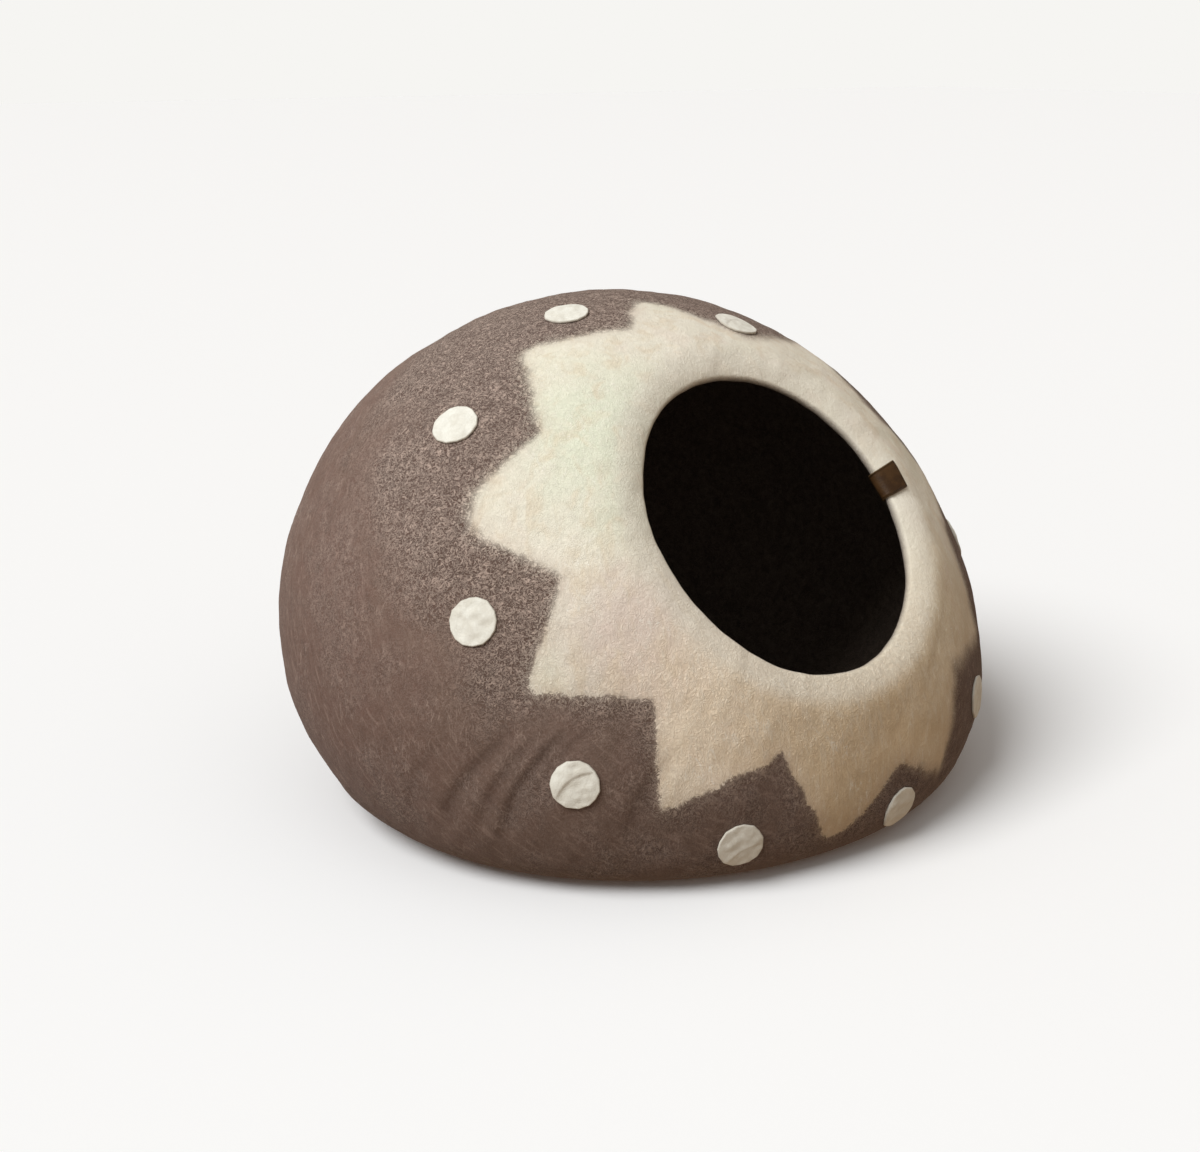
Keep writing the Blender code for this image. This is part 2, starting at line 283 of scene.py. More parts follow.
def cast(directions):
    """Where lines from the eye point leave the outer shape, by halving."""
    unit = directions / np.linalg.norm(directions, axis=-1, keepdims=True)
    near = np.zeros(unit.shape[:-1])
    far = np.full(unit.shape[:-1], 2 * HALF_WIDTH)
    for _ in range(HALVINGS):
        half = (near + far) / 2
        inside = level(EYE + unit * half[..., None]) < 0
        near = np.where(inside, half, near)
        far = np.where(inside, far, half)
    return EYE + unit * near[..., None]


def crease_depth(points):
    """How far the leaning creases sink: a bell across each arc, faded at its ends, and the deepest where two meet."""
    plan_angle = np.degrees(np.arctan2((points[..., 1] - lean_at(points[..., 2])) / DEPTH_SHARE, points[..., 0]))
    height = points[..., 2] + BASE_DROP
    sunk = np.zeros(height.shape)
    for row in CREASES:
        crease = dict(zip(CREASE_COLUMNS, row))
        along = (height - crease["foot"]) / (crease["top"] - crease["foot"])
        centre = crease["angle_foot"] + (crease["angle_top"] - crease["angle_foot"]) * along
        centre += CREASE_BEND * along * np.abs(along)
        across = np.radians(plan_angle - centre) * PLAN_RADIUS / crease["half_width"]
        across *= np.where(across < 0, CREASE_STEEP_SIDE, CREASE_SOFT_SIDE)
        ends = np.exp(-((1.7 * along - 0.85) ** 4))  # 1 along its middle and 0.6 at its top and foot
        sunk = np.maximum(sunk, crease["depth"] * ends * np.exp(-(across**2)))
    return sunk


def creased(points):
    """The points moved inwards by the creases."""
    return points - facing(points) * crease_depth(points)[..., None]


def waves(points, lengths, height, seed):
    """Soft unevenness: a sum of plane waves of random direction and phase, each as high as it is long."""
    random = np.random.default_rng(seed)
    total = np.zeros(points.shape[:-1])
    for length in lengths:
        for _ in range(WAVES_EACH):
            way = random.normal(size=3)
            way *= 2 * np.pi / length / np.linalg.norm(way)
            total += length / max(lengths) * np.sin(points @ way + random.uniform(0, 2 * np.pi))
    return height * total / np.sqrt(WAVES_EACH / 2 * len(lengths))


def uneven(points, seed):
    """How far the felt stands proud of its even shape: lumps, dimples and upright pleats, none where it rests."""
    proud = waves(points, *LUMPS, seed) + waves(points, *DIMPLES, seed + 1)
    proud += waves(points * PLEAT_STRETCH, *PLEATS, seed + 2)
    return proud * np.clip((points[..., 2] + BASE_DROP - EVEN_FOOT) / EVEN_FADE, 0, 1)


def base_edge(turn):
    """The edge of what lies on the floor, at a plan angle."""
    y = DEPTH_SHARE * BASE_FLAT * np.sin(turn) + lean_at(-BASE_DROP)
    return np.stack([BASE_FLAT * np.cos(turn), y, np.full(turn.shape, -BASE_DROP)], axis=-1)


def rim_way(turns):
    """Directions from the eye point to the rim, for turns round the opening."""
    return OUT + OPENING_WIDE * np.cos(turns)[:, None] * RIGHT + OPENING_TALL * np.sin(turns)[:, None] * UP


def rim_cone(turns):
    """The angle at the eye point between the middle of the opening and its rim, for true angles round it."""
    return np.arctan(1 / np.hypot(np.cos(turns) / OPENING_WIDE, np.sin(turns) / OPENING_TALL))


def from_rim(points):
    """Turn round the opening, reach from its rim along the outer shape, and the way that leads straight from it."""
    way = points - EYE
    turns = np.arctan2(way @ UP, way @ RIGHT)
    sideways = np.cos(turns)[..., None] * RIGHT + np.sin(turns)[..., None] * UP
    start = rim_cone(turns)
    cone = np.arccos(way @ OUT / np.linalg.norm(way, axis=-1))
    cones = (start[..., None] + (cone - start)[..., None] * np.linspace(0, 1, REACH_STEPS + 1))[..., None]
    path = cast(np.cos(cones) * OUT + np.sin(cones) * sideways[..., None, :])
    reach = np.linalg.norm(np.diff(path, axis=-2), axis=-1).sum(-1) * np.sign(cone - start)
    return turns, reach, np.cos(cone)[..., None] * sideways - np.sin(cone)[..., None] * OUT


def section(at):
    """Middle of the felt, its outward direction and the way off its rim: a plate bent inwards at the rim."""
    out = facing(at)
    _, reach, ahead = from_rim(at)
    ahead -= (ahead * out).sum(-1, keepdims=True) * out
    ahead /= np.linalg.norm(ahead, axis=-1, keepdims=True)
    left = np.clip(1 - reach / TURN_WIDTH, 0, 1)[..., None]
    steep = -2 * TURN_IN / TURN_WIDTH * left
    middle = creased(at) - out * (WALL / 2 + TURN_IN * left**2)
    turned_out = (out + ahead * steep) / np.hypot(1, steep)
    turned_ahead = (ahead - out * steep) / np.hypot(1, steep)
    return middle, turned_out, turned_ahead


def outer_side(at, lift=0.0):
    """Points that far off the outer side of the felt, with its unevenness."""
    middle, out, _ = section(at)
    return middle + (WALL / 2 + lift + uneven(at, OUTER_SEED))[..., None] * out


def inner_side(at, lift=0.0):
    """Points that far off the inner side of the felt, with an unevenness of its own."""
    middle, out, _ = section(at)
    return middle - (WALL / 2 + lift + uneven(at, INNER_SEED))[..., None] * out


def lip(at, lift, steps):
    """Half a circle round the edge of the rim, from the outer side to the inner side."""
    middle, out, ahead = section(at)
    first, last = uneven(at, OUTER_SEED), uneven(at, INNER_SEED)
    rows = []
    for angle in np.linspace(0, np.pi, steps + 1)[1:-1]:
        share = angle / np.pi
        radius = WALL / 2 + lift + first * (1 - share) + last * share
        rows.append(middle + radius[..., None] * (out * np.cos(angle) - ahead * np.sin(angle)))
    return rows


class Felt:
    """The outer shape along columns that start at the rim, each measured by the distance walked on it."""

    WALK_STEPS = 160

    def __init__(self, start, end):
        self.rim = start / np.linalg.norm(start, axis=1, keepdims=True)
        self.foot = end / np.linalg.norm(end, axis=1, keepdims=True)
        self.bend = np.arccos(np.clip((self.rim * self.foot).sum(1), -1, 1))
        self.share = np.linspace(0, 1, self.WALK_STEPS + 1)
        way = self.points_at_share(np.repeat(self.share[None], len(start), 0))
        steps = np.linalg.norm(np.diff(way, axis=1), axis=2)
        self.reach = np.concatenate([np.zeros((len(start), 1)), np.cumsum(steps, axis=1)], axis=1)
        self.length = self.reach[:, -1]

    def points_at_share(self, share):
        """Points at a share of each column's angle, where a direction turns evenly from the rim to the foot."""
        bend = self.bend[:, None]
        early = np.sin((1 - share) * bend) / np.sin(bend)
        late = np.sin(share * bend) / np.sin(bend)
        return cast(early[..., None] * self.rim[:, None] + late[..., None] * self.foot[:, None])

    def points(self, reach):
        """Points at a distance walked from the rim, none of them under the floor."""
        share = np.stack([np.interp(r, known, self.share) for r, known in zip(reach, self.reach)])
        found = self.points_at_share(share)
        found[..., 2] = np.maximum(found[..., 2], -BASE_DROP)
        return found

    def rings(self, start, middle_rings, round_rings):
        """Distances from the rim: close at the rim, even over the body, close again round the base."""
        foot_start = self.length[:, None] - FOOT_LENGTH
        body = start[-1] + (foot_start - start[-1]) * np.arange(1, middle_rings + 1) / middle_rings
        foot = foot_start + FOOT_LENGTH * np.arange(1, round_rings + 1) / round_rings
        return np.concatenate([np.repeat([start], len(self.length), 0), body, foot], axis=1)


def straight_out(turns):
    """Columns that run straight out from the opening, for true angles round its middle."""
    sideways = np.cos(turns)[:, None] * RIGHT + np.sin(turns)[:, None] * UP
    near = rim_cone(turns)[:, None]
    far = near + np.radians(STRAIGHT_SPAN)
    return Felt(np.cos(near) * OUT + np.sin(near) * sideways, np.cos(far) * OUT + np.sin(far) * sideways)


def column_turns():
    """Turns of the shell's columns: even steps through the running sum of a crowding with a bell at each place."""
    fine = np.radians(np.arange(0.0, 360.5, 0.5))
    crowding = np.ones(fine.shape)
    for row in CROWDING:
        place = dict(zip(CROWDING_COLUMNS, row))
        crowding += place["closer"] * np.exp(place["narrowness"] * (np.cos(fine - np.radians(place["turn"])) - 1))
    total = np.concatenate([[0], np.cumsum((crowding[1:] + crowding[:-1]) / 2)])
    return np.interp(np.arange(COLUMNS_ROUND) / COLUMNS_ROUND, total / total[-1], fine)


def placed(points):
    """From body measures to the frame: the base on z = 0, in metres."""
    return (points + np.array([0.0, SET_BACK, BASE_DROP])) * MM


def grid_faces(rows, columns, closed):
    """Four corners for each cell of a grid of rows by columns, whose columns may close into a ring."""
    row, column = np.meshgrid(np.arange(rows - 1), np.arange(columns if closed else columns - 1), indexing="ij")
    a = row * columns + column
    b = row * columns + (column + 1) % columns
    return np.stack([a, b, b + columns, a + columns], axis=-1).reshape(-1, 4)


def mesh_piece(name, points, quads, triangles=None):
    """One smooth-shaded object from arrays of points, four-cornered faces and three-cornered faces."""
    triangles = np.zeros((0, 3), int) if triangles is None else triangles
    corners = np.concatenate([quads.ravel(), triangles.ravel()])
    totals = np.concatenate([np.full(len(quads), 4), np.full(len(triangles), 3)])
    mesh = bpy.data.meshes.new(name)
    mesh.vertices.add(len(points))
    mesh.vertices.foreach_set("co", placed(points).ravel())
    mesh.loops.add(len(corners))
    mesh.loops.foreach_set("vertex_index", corners)
    mesh.polygons.add(len(totals))
    mesh.polygons.foreach_set("loop_start", np.concatenate([[0], np.cumsum(totals)[:-1]]))
    mesh.polygons.foreach_set("use_smooth", np.ones(len(totals), bool))
    mesh.update(calc_edges=True)
    mesh.validate()
    made = bpy.data.objects.new(name, mesh)
    bpy.context.scene.collection.objects.link(made)
    return made


def keep(made, name, values):
    """Stores a number or a direction for each point, for the material to read."""
    kind = "FLOAT" if values.ndim == 1 else "FLOAT_VECTOR"
    layer = made.data.attributes.new(name, kind, "POINT")
    layer.data.foreach_set("value" if values.ndim == 1 else "vector", values.astype(np.float32).ravel())


def laid_flat(turns, reach):
    """The felt round the opening unrolled on a plane, in polar measures from the middle of the opening."""
    return (STAR_MIDDLE + reach)[..., None] * np.stack([np.cos(turns), np.sin(turns)], axis=-1)


def star_outline():
    """Corners of the star on the plane, each tip rounded by a parabola that leaves its sides at the blunt length."""
    rows = [dict(zip(STAR_COLUMNS, row)) for row in STAR]
    tips = laid_flat(*np.array([(np.radians(row["tip_turn"]), row["tip_reach"]) for row in rows]).T)
    valleys = laid_flat(*np.array([(np.radians(row["valley_turn"]), row["valley_reach"]) for row in rows]).T)
    outline = []
    for row, before, tip, after in zip(rows, np.roll(valleys, 1, axis=0), tips, valleys):
        start = tip + row["blunt"] * (before - tip) / np.linalg.norm(before - tip)
        end = tip + row["blunt"] * (after - tip) / np.linalg.norm(after - tip)
        share = np.linspace(0, 1, TIP_STEPS + 1)[:, None]
        outline.append((1 - share) ** 2 * start + 2 * share * (1 - share) * tip + share**2 * end)
        outline.append(after[None])
    return np.concatenate(outline)


def star_depth(turns, reach):
    """Millimetres inside the star's edge, or less than 0 outside it: the nearest side, signed by even and odd."""
    corners = star_outline()
    flat = laid_flat(turns, reach)
    nearest = np.full(turns.shape, 1e9)
    inside = np.zeros(turns.shape, bool)
    for a, b in zip(corners, np.roll(corners, -1, axis=0)):
        along = np.clip((flat - a) @ (b - a) / ((b - a) @ (b - a)), 0, 1)
        nearest = np.minimum(nearest, np.linalg.norm(flat - a - along[..., None] * (b - a), axis=-1))
        crosses = (a[1] > flat[..., 1]) != (b[1] > flat[..., 1])
        where = a[0] + (flat[..., 1] - a[1]) * (b[0] - a[0]) / (b[1] - a[1])
        inside ^= crosses & (flat[..., 0] < where)
    return np.where(inside, nearest, -nearest)


def ring_fans(rings, size):
    """Triangles that close a run of rings at both ends, round two points that come after all of its others."""
    this, after = np.arange(size), (np.arange(size) + 1) % size
    last = (rings - 1) * size
    first_fan = np.stack([np.full(size, rings * size), after, this], axis=1)
    last_fan = np.stack([np.full(size, rings * size + 1), last + this, last + after], axis=1)
    return np.concatenate([first_fan, last_fan])


def make_shell():
    """Outer side, rounded rim and inner side as one run of rings, closed by the two faces of the base."""
    turns = column_turns()
    felt = Felt(rim_way(turns), base_edge(turns) - EYE)
    outer_rim = np.linspace(0, TURN_WIDTH, OUTER_RIM_RINGS)
    inner_rim = np.linspace(0, INNER_RIM_WIDTH, INNER_RIM_RINGS)
    outer_at = felt.points(felt.rings(outer_rim, OUTER_RINGS, OUTER_FOOT_RINGS))
    inner_at = felt.points(felt.rings(inner_rim, INNER_RINGS, INNER_FOOT_RINGS))
    outer, inner = outer_side(outer_at), inner_side(inner_at)
    edge = np.stack(lip(outer_at[:, 0], 0.0, LIP_STEPS), axis=1)
    outer[:, -1, 2] = -BASE_DROP
    inner[:, -1, 2] = WALL - BASE_DROP
    rows = np.concatenate([outer[:, ::-1], edge, inner], axis=1).transpose(1, 0, 2)

    centre = np.array([0.0, lean_at(-BASE_DROP), 0.0])
    under, floor = [0.0, 0.0, -BASE_DROP], [0.0, 0.0, WALL - BASE_DROP]
    shares = np.arange(1, BASE_RINGS + 1)[:, None, None] / (BASE_RINGS + 1)
    low = centre + (rows[:1] - centre) * shares * [1, 1, 0] + under
    high = centre + (rows[-1:] - centre) * shares[::-1] * [1, 1, 0] + floor
    rows = np.concatenate([low, rows, high])
    count, size = rows.shape[:2]
    points = np.concatenate([rows.reshape(-1, 3), [centre + under, centre + floor]])
    made = mesh_piece("felt_shell", points, grid_faces(count, size, True), ring_fans(count, size))

    turns, reach, _ = from_rim(points)
    on_outer = np.zeros((count, size))
    rim_start = len(low) + outer.shape[1]
    on_outer[:rim_start] = 1
    on_outer[rim_start : rim_start + edge.shape[1]] = np.linspace(1, 0, edge.shape[1])[:, None]
    on_outer = np.append(on_outer.ravel(), [1, 0])
    keep(made, "star_depth", star_depth(turns, reach))
    keep(made, "outer_side", on_outer)
    keep(made, "crease_depth", crease_depth(points) * on_outer)
    keep(made, "lay", np.column_stack([np.cos(turns) * LAY_RADIUS, np.sin(turns) * LAY_RADIUS, reach / LAY_SQUEEZE]))
    return made


def cut_edge(angle, random):
    """How far a dot reaches at each angle, as a share of its radius: the nearest of many short straight cuts.

    The cuts are 0.5 to 2.8% nearer than the radius, and each is turned by up to 0.12 radians from even steps.
    """
    cuts = np.arange(DOT_CUTS) * 2 * np.pi / DOT_CUTS + random.uniform(-0.12, 0.12, DOT_CUTS)
    away = (angle[:, None] - cuts + np.pi) % (2 * np.pi) - np.pi
    straight = random.uniform(0.972, 0.995, DOT_CUTS) / np.maximum(np.cos(away), 0.6)
    return straight.min(axis=1)


def pressed_crease(dot, across, along):
    """One soft step in height along a bent line on the dot, 1.2 mm broad, which fades within some 6 mm of it."""
    way = np.radians(dot["crease_turn"])
    off_line = across * np.cos(way) + along * np.sin(way) - dot["crease_aside"]
    off_line += 0.025 * (along * np.cos(way) - across * np.sin(way)) ** 2
    return dot["crease_depth"] * np.tanh(off_line / 0.6) * np.exp(-np.abs(off_line) / 6)


def make_dot(name, row, seed):
    """A thin cut disc that follows the felt: rings of a flat underside, a rounded edge and a low crowned top."""
    random = np.random.default_rng(seed)
    dot = dict(zip(DOT_COLUMNS, row))
    centre = straight_out(np.radians([dot["turn"]])).points(np.array([[dot["reach"]]]))[0, 0]
    out = facing(centre)
    side = np.cross([0.0, 0.0, 1.0], out)
    side /= np.linalg.norm(side)
    up = np.cross(out, side)

    angle = np.arange(DOT_SIDES) * 2 * np.pi / DOT_SIDES
    bevel = np.radians(np.linspace(-90, 90, BEVEL_STEPS))
    under, top = np.linspace(0.15, DOT_FLAT, DOT_UNDER_RINGS), np.linspace(DOT_FLAT, 0.05, DOT_RINGS)
    bevel_shares = DOT_BEVEL_START + (1 - DOT_BEVEL_START) * np.cos(bevel)
    shares = np.concatenate([under, bevel_shares, top])
    lifts = np.concatenate([np.zeros(len(under)), 0.5 + 0.5 * np.sin(bevel), np.ones(len(top))])
    radius = DOT_RADIUS * shares[:, None] * cut_edge(angle, random)
    across, along = radius * np.cos(angle), radius * np.sin(angle)
    on = cast(centre + across[..., None] * side + along[..., None] * up - EYE)

    relief = pressed_crease(dot, across, along)
    flat = np.stack([across, along, across * 0], axis=-1)
    relief += DOT_DIMPLE_HEIGHT * waves(flat, DOT_DIMPLE_LENGTHS, 1.0, seed + DIMPLE_SEED)
    relief *= np.clip(6 - 6 * shares[:, None], 0, 1)  # it fades over the last sixth of the radius
    height = lifts[:, None] * (DOT_THICK + DOT_CROWN * (1 - shares[:, None] ** 2) + relief)
    rings = outer_side(on) + facing(on) * (DOT_LIFT + height)[..., None]
    points = np.concatenate([rings.reshape(-1, 3), [rings[0].mean(0), rings[-1].mean(0)]])
    made = mesh_piece(name, points, grid_faces(len(rings), DOT_SIDES, True), ring_fans(len(rings), DOT_SIDES))
    keep(made, "edge_share", np.append(np.repeat(shares, DOT_SIDES), [0.0, 0.0]))
    return made


def tag_section():
    """Places across the strip and heights on it, round one closed section with rounded sides."""
    bevel = np.radians(np.linspace(-90, 90, BEVEL_STEPS))
    half = TAG_WIDTH / 2 - TAG_THICK / 2
    there, back = np.linspace(-half, half, TAG_ACROSS_STEPS), np.linspace(half, -half, TAG_ACROSS_STEPS)
    side = half + TAG_THICK / 2 * np.cos(bevel)
    rise = (1 + np.sin(bevel)) / 2
    flat = np.zeros(TAG_ACROSS_STEPS)
    height = np.concatenate([flat, rise, flat + 1, (1 - np.sin(bevel)) / 2])
    return np.concatenate([there, side, back, -side]), TAG_GAP + TAG_SLACK + height * (TAG_THICK - 2 * TAG_SLACK)


def make_tag():
    """A strip over the rim: its section carried along the outer felt, round the rim and along the inner felt."""
    turns = np.linspace(TAG_TURN - TAG_SPAN, TAG_TURN + TAG_SPAN, TAG_SPAN_STEPS)
    columns = straight_out(np.radians(turns))
    across, lift = tag_section()

    def row(reach):
        """The section's places on the outer shape, on a line of equal reach and skewed along the strip."""
        line = columns.points(np.full((len(turns), 1), reach))[:, 0]
        along = np.concatenate([[0], np.cumsum(np.linalg.norm(np.diff(line, axis=0), axis=1))])
        along -= np.interp(TAG_TURN, turns, along)
        want = across + TAG_SKEW * reach
        return np.stack([np.interp(want, along, line[:, k]) for k in range(3)], axis=1)

    outer_steps, inner_steps = TAG_LEG_STEPS
    outer_reach, inner_reach = np.linspace(TAG_OUTER_LEG, 0, outer_steps), np.linspace(0, TAG_INNER_LEG, inner_steps)
    round_rim = lip(row(0.0), lift, TAG_LIP_STEPS)
    rim_length = np.pi * WALL / 2
    rows = [outer_side(row(reach), lift) for reach in outer_reach] + round_rim
    rows = np.array(rows + [inner_side(row(reach), lift) for reach in inner_reach])
    rim_steps = np.linspace(0, rim_length, len(round_rim) + 2)[1:-1]
    length = np.concatenate([-outer_reach, rim_steps, rim_length + inner_reach])
    count, size = rows.shape[:2]
    points = np.concatenate([rows.reshape(-1, 3), [rows[0].mean(0), rows[-1].mean(0)]])
    made = mesh_piece("leather_tag", points, grid_faces(count, size, True), ring_fans(count, size))
    strip = [np.tile(across, count), np.repeat(length, size), np.tile(lift, count)]
    ends = [[0, 0], [length[0], length[-1]], [0, 0]]
    keep(made, "strip", np.column_stack([np.append(inside, end) for inside, end in zip(strip, ends)]))
    return made


def to_linear(code):
    """An sRGB hex colour as the linear numbers that Blender takes."""
    value = np.array([int(code[k : k + 2], 16) for k in (1, 3, 5)]) / 255
    linear = np.where(value <= 0.04045, value / 12.92, ((value + 0.055) / 1.055) ** 2.4)
    return (*linear.tolist(), 1.0)


# The setting that holds a node's mode, for the kinds whose mode is written after a dot.
MODES = {"Math": "operation", "VectorMath": "operation", "Mix": "data_type", "MapRange": "interpolation_type"}


def add(tree, kind, *values, output=None, **settings):
    """Adds one node and gives one of its outputs: the first open one, unless another is named.

    The kind is Blender's name, with the node's mode after a dot. Values go to its open inputs in order. A setting
    named as an input goes to that input, and any other is set on the node. Where a value is a socket it is linked.
    """
    kind, _, mode = kind.partition(".")
    node = tree.nodes.new("ShaderNode" + kind)
    if mode:
        setattr(node, MODES[kind], mode)
    given = list(zip((socket for socket in node.inputs if socket.enabled), values))
    for name, value in settings.items():
        if name in node.inputs:
            given.append((node.inputs[name], value))
        else:
            setattr(node, name, value)
    for socket, value in given:
        if isinstance(value, bpy.types.NodeSocket):
            tree.links.new(value, socket)
        else:
            socket.default_value = value
    return node.outputs[output] if output else next(socket for socket in node.outputs if socket.enabled)


def moved(tree, value, pattern, by):
    """A value moved either way by a pattern round its middle: value + by * (pattern - 0.5)."""
    return add(tree, "Math.MULTIPLY_ADD", add(tree, "Math.SUBTRACT", pattern, 0.5), by, value)


def rising(tree, value, start, end, strength):
    """A share that goes, with soft ends, from 0 where the value is at its start to its strength at its end."""
    return add(tree, "Math.MULTIPLY", add(tree, "MapRange.SMOOTHSTEP", value, start, end), strength)


def strands(tree, where, size, twist, width):
    """Curled fibres: the line where a twisted noise passes its middle value, 1 on the line and 0 away from it."""
    scale = 1 / (size * MM)
    value = add(tree, "TexNoise", Vector=where, Scale=scale, Detail=2.0, Roughness=FINER_SHARE, Distortion=twist)
    away = add(tree, "Math.ABSOLUTE", add(tree, "Math.SUBTRACT", value, 0.5))
    return add(tree, "MapRange.SMOOTHSTEP", away, 0.0, width, 1.0, 0.0)


def laid_over(tree, colour, layers):
    """A colour with others laid over it in turn, each by its own share: a run of mixes."""
    for share, code in layers:
        colour = add(tree, "Mix.RGBA", share, colour, to_linear(code))
    return colour


def start_material(name):
    """A new material, with its node tree and its shader."""
    made = bpy.data.materials.new(name)
    made.use_nodes = True
    return made, made.node_tree, made.node_tree.nodes["Principled BSDF"]


def wool_patterns(tree):
    """What all the looks of the wool are made from: places on the shell, noises, and curled fibres of three sizes."""
    where = add(tree, "TexCoord", output="Object")
    lay = add(tree, "VectorMath.SCALE", add(tree, "Attribute", attribute_name="lay", output="Vector"), MM)
    over = {
        "where": where,
        "fall": add(tree, "VectorMath.MULTIPLY", where, FALL_STRETCH),
        "lay": add(tree, "VectorMath.MULTIPLY", lay, LAY_STRETCH),
    }
    wool = SimpleNamespace(where=where)
    wool.x, wool.y, wool.z = add(tree, "SeparateXYZ", where).node.outputs
    wool.reach = add(tree, "SeparateXYZ", lay, output="Z")  # metres from the rim, over the squeeze
    for name in ("star_depth", "outer_side", "crease_depth"):
        setattr(wool, name, add(tree, "Attribute", attribute_name=name, output="Fac"))
    for row in WOOL_NOISES:
        noise = dict(zip(NOISE_COLUMNS, row))
        inputs = {"Vector": over[noise["over"]], "Scale": 1 / (noise["size"] * MM), "Detail": noise["layers"]}
        made = add(tree, "TexNoise", Roughness=FINER_SHARE, Distortion=noise["twist"], **inputs)
        setattr(wool, noise["name"], made)
    # Curled fibres: the size of a curl in millimetres, its twist, and how broad a fibre is.
    wool.curls = strands(tree, where, 4.4, 1.7, 0.07)
    wool.fine_curls = strands(tree, where, 2.8, 1.4, 0.08)
    wool.long_hairs = strands(tree, over["fall"], 7.0, 1.6, 0.018)
    wool.ridges = add(tree, "Math.MAXIMUM", wool.curls, add(tree, "Math.MULTIPLY", wool.fine_curls, 0.8))
    wool.between = add(tree, "Math.SUBTRACT", 1.0, wool.ridges)

    # Parts of the shell, by metres in the frame.
    wool.low = add(tree, "MapRange.SMOOTHSTEP", wool.z, 0.06, 0.2, 1.0, 0.0)
    wool.right_side = add(tree, "MapRange.SMOOTHSTEP", wool.x, -0.02, 0.12)
    leftward = add(tree, "Math.MULTIPLY_ADD", wool.y, 0.45, add(tree, "Math.MULTIPLY", wool.x, -1.0))
    wool.far_left = add(tree, "MapRange.SMOOTHSTEP", leftward, 0.10, 0.24)
    return wool


def where_fuzzy(tree, wool):
    """Where loose hairs stand up: near the star and above it, along the star's edge, and in worn patches.

    Near is counted in millimetres off the star, moved by up to 95 with the broad noise and 17 with the patches,
    and 560 less for each metre above a height of 0.16.
    """
    away = moved(tree, add(tree, "Math.MULTIPLY", wool.star_depth, -1.0), wool.broad, 190.0)
    away = moved(tree, away, wool.patches, 35.0)
    away = add(tree, "Math.MULTIPLY_ADD", add(tree, "Math.SUBTRACT", wool.z, 0.16), -560.0, away)
    near = add(tree, "MapRange.SMOOTHSTEP", away, -5.0, 95.0, 1.0, 0.0)
    near = add(tree, "Math.MULTIPLY", near, add(tree, "Math.MULTIPLY_ADD", near, 0.6, 0.4))

    edge_strength = add(tree, "MapRange.SMOOTHSTEP", wool.z, 0.08, 0.16, 0.45, 0.9)
    at_edge = rising(tree, wool.star_depth, -16.0, -3.0, edge_strength)
    fuzzy = add(tree, "Math.MAXIMUM", near, at_edge)

    at_foot = add(tree, "MapRange.SMOOTHSTEP", wool.z, 0.03, 0.12, 0.9, 0.0)
    worn = add(tree, "Math.MAXIMUM", at_foot, add(tree, "Math.MULTIPLY", wool.far_left, 0.35))
    at_back = add(tree, "MapRange.SMOOTHSTEP", wool.star_depth, -190.0, -130.0, 0.45, 0.0)
    worn = add(tree, "Math.MAXIMUM", worn, at_back)
    wear = add(tree, "Math.MULTIPLY_ADD", wool.patches, 0.5, add(tree, "Math.MULTIPLY", wool.broad, 0.5))
    wear = add(tree, "MapRange.SMOOTHSTEP", wear, 0.4, 0.62)
    fuzzy = add(tree, "Math.MAXIMUM", fuzzy, add(tree, "Math.MULTIPLY", worn, wear))
    less_on_right = add(tree, "MapRange.SMOOTHSTEP", wool.x, 0.02, 0.12, 1.0, 0.4)
    return add(tree, "Math.MULTIPLY", fuzzy, less_on_right)


def star_edge(tree, wool):
    """Millimetres inside the star's edge as it shows: it wanders by up to 4.5, 2 and 0.8 with three patterns."""
    wander = moved(tree, wool.star_depth, wool.drift, 9.0)
    wander = moved(tree, wander, wool.lumps, 4.0)
    return moved(tree, wander, wool.curls, 1.6)


def star_share(tree, wool, wander):
    """How much cream shows: a crisp edge low on the left, a soft one above and on the right, and strays across it."""
    crisp = add(tree, "MapRange.SMOOTHSTEP", wander, -1.1, 1.1)
    narrowed = add(tree, "Math.DIVIDE", wander, add(tree, "Math.ADD", wool.right_side, 1.0))
    soft = add(tree, "MapRange.SMOOTHSTEP", narrowed, -5.0, 4.0)
    higher_up = add(tree, "MapRange.SMOOTHSTEP", wool.z, 0.09, 0.22, 0.35, 1.0)
    softness = add(tree, "Math.MAXIMUM", wool.right_side, higher_up)
    share = add(tree, "Math.MULTIPLY_ADD", add(tree, "Math.SUBTRACT", soft, crisp), softness, crisp)

    stray_hairs = add(tree, "Math.MULTIPLY_ADD", wool.low, -0.25, 0.4)
    stray_hairs = add(tree, "Math.MULTIPLY", wool.fine_curls, stray_hairs)
    strays = rising(tree, wander, -12.0, -1.0, stray_hairs)
    return add(tree, "Math.MULTIPLY", add(tree, "Math.MAXIMUM", share, strays), wool.outer_side)


